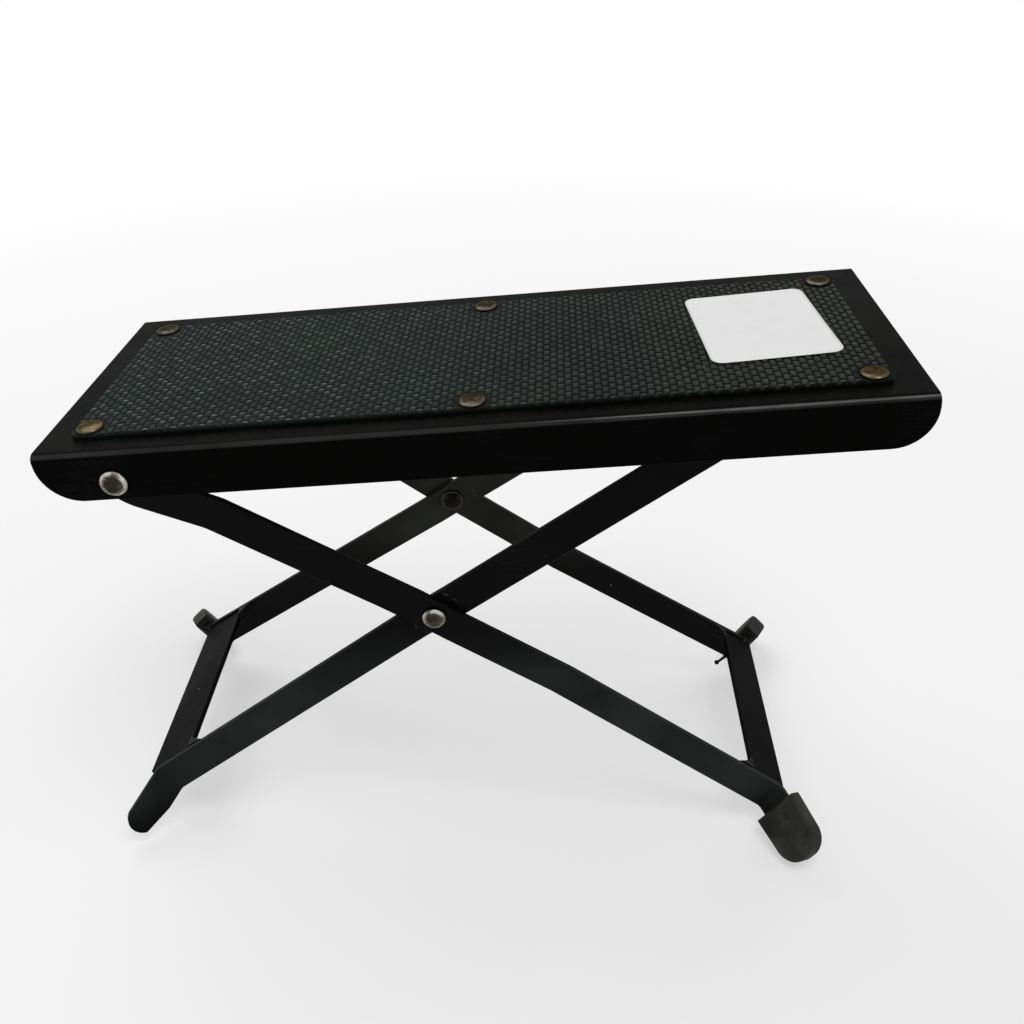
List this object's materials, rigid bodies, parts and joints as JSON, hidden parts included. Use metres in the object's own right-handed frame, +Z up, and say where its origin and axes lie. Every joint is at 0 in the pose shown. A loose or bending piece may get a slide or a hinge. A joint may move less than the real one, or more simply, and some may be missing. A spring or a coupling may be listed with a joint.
{
  "type": "folding footrest",
  "caption": "Folding footrest: a rubber-topped pressed steel tread hinged to crossed steel legs, its height set by a cross rod in notched rails, with rubber boots on turned-out feet.",
  "frame": {"origin": "on the floor, below the middle of the whole footrest", "axes": "+X along the footrest to its high, right-hand end, +Y across it to the far side, +Z up; the near long side, with its hinge rivet to the left, faces -Y"},
  "size_m": [0.311, 0.141, 0.2181],
  "materials": {
    "black_paint": "satin black enamel on pressed and flat steel",
    "painted_weld": "weld fillet under the same black enamel",
    "bright_rivet": "bright nickel on domed rivet heads, a little tarnished",
    "dark_steel": "plain steel, darkened",
    "mat_rubber": "dark grey-green rubber with a raised weave of small dashes",
    "boot_rubber": "matt black moulded rubber"
  },
  "bodies": {
    "outer_legs": {"outer_leg_near": "black_paint", "outer_leg_far": "black_paint", "outer_crossbar": "black_paint", "outer_weld_near": "painted_weld", "outer_weld_far": "painted_weld", "outer_boot_near": "boot_rubber", "outer_boot_far": "boot_rubber", "crossing_rivet_near": "bright_rivet", "crossing_rivet_far": "bright_rivet", "crossing_washer_near": "dark_steel", "crossing_washer_far": "dark_steel"},
    "inner_legs": {"inner_leg_near": "black_paint", "inner_leg_far": "black_paint", "inner_crossbar": "black_paint", "inner_weld_near": "painted_weld", "inner_weld_far": "painted_weld", "inner_boot_far": "boot_rubber", "notch_rod": "dark_steel"},
    "hinge_pins": {"hinge_rivet_near": "bright_rivet", "hinge_rivet_far": "bright_rivet", "hinge_washer_near": "dark_steel", "hinge_washer_far": "dark_steel"},
    "tread": {"tread_plate": "black_paint", "rubber_mat": "mat_rubber", "mat_rivet_near_left": "bright_rivet", "mat_rivet_near_middle": "bright_rivet", "mat_rivet_near_right": "bright_rivet", "mat_rivet_far_left": "bright_rivet", "mat_rivet_far_middle": "bright_rivet", "mat_rivet_far_right": "bright_rivet", "notch_rail_near": "black_paint", "notch_rail_far": "black_paint"}
  },
  "joints": [
    {"name": "scissor_fold", "type": "hinge", "parent": "outer_legs", "child": "inner_legs", "pos_m": [-0.01235, 0, 0.10948], "axis": [0, 1, 0], "range_deg": [0, 70.5]},
    {"name": "tread_follow", "type": "hinge", "parent": "outer_legs", "child": "hinge_pins", "pos_m": [-0.11641, 0, 0.17927], "axis": [0, 1, 0], "range_deg": [0, 38.55]},
    {"name": "tread_lift", "type": "hinge", "parent": "hinge_pins", "child": "tread", "pos_m": [-0.11641, 0, 0.17927], "axis": [0, -1, 0], "range_deg": [-0.85, 7]}
  ],
  "couplings": [
    {"joint": "tread_follow", "follows": "scissor_fold", "ratio": 0.54635}
  ]
}
